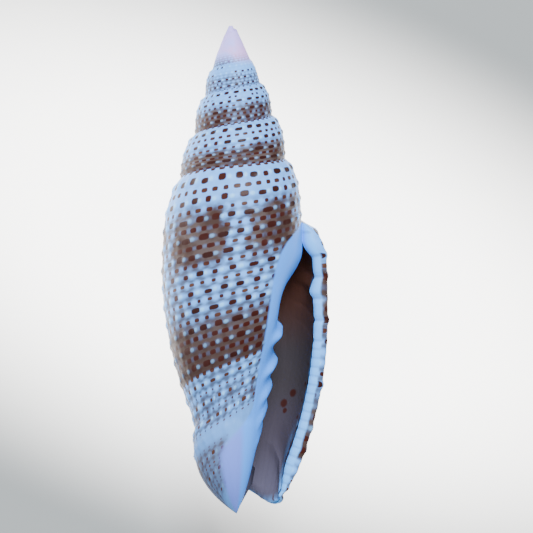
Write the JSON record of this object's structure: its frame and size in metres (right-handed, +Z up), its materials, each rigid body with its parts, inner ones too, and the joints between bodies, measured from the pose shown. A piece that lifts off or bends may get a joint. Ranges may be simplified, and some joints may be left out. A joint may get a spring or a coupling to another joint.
{
  "type": "mitre shell",
  "caption": "Slender right-handed spiral sea shell with a beaded, spotted surface, narrow aperture, folded columella and scalloped lip, lying on its back.",
  "frame": {"origin": "ground point under the middle of the shell's bounding box, as it lies on its back", "axes": "+Y along the coiling axis towards the tip of the spire, +Z up from the ground, the outer lip on the +X side"},
  "size_m": [0.0204, 0.06, 0.0182],
  "materials": {
    "shell": "glossy, bluish white with red-brown dashes and taupe clouds"
  },
  "bodies": {
    "root": {"shell": "shell"}
  },
  "joints": []
}
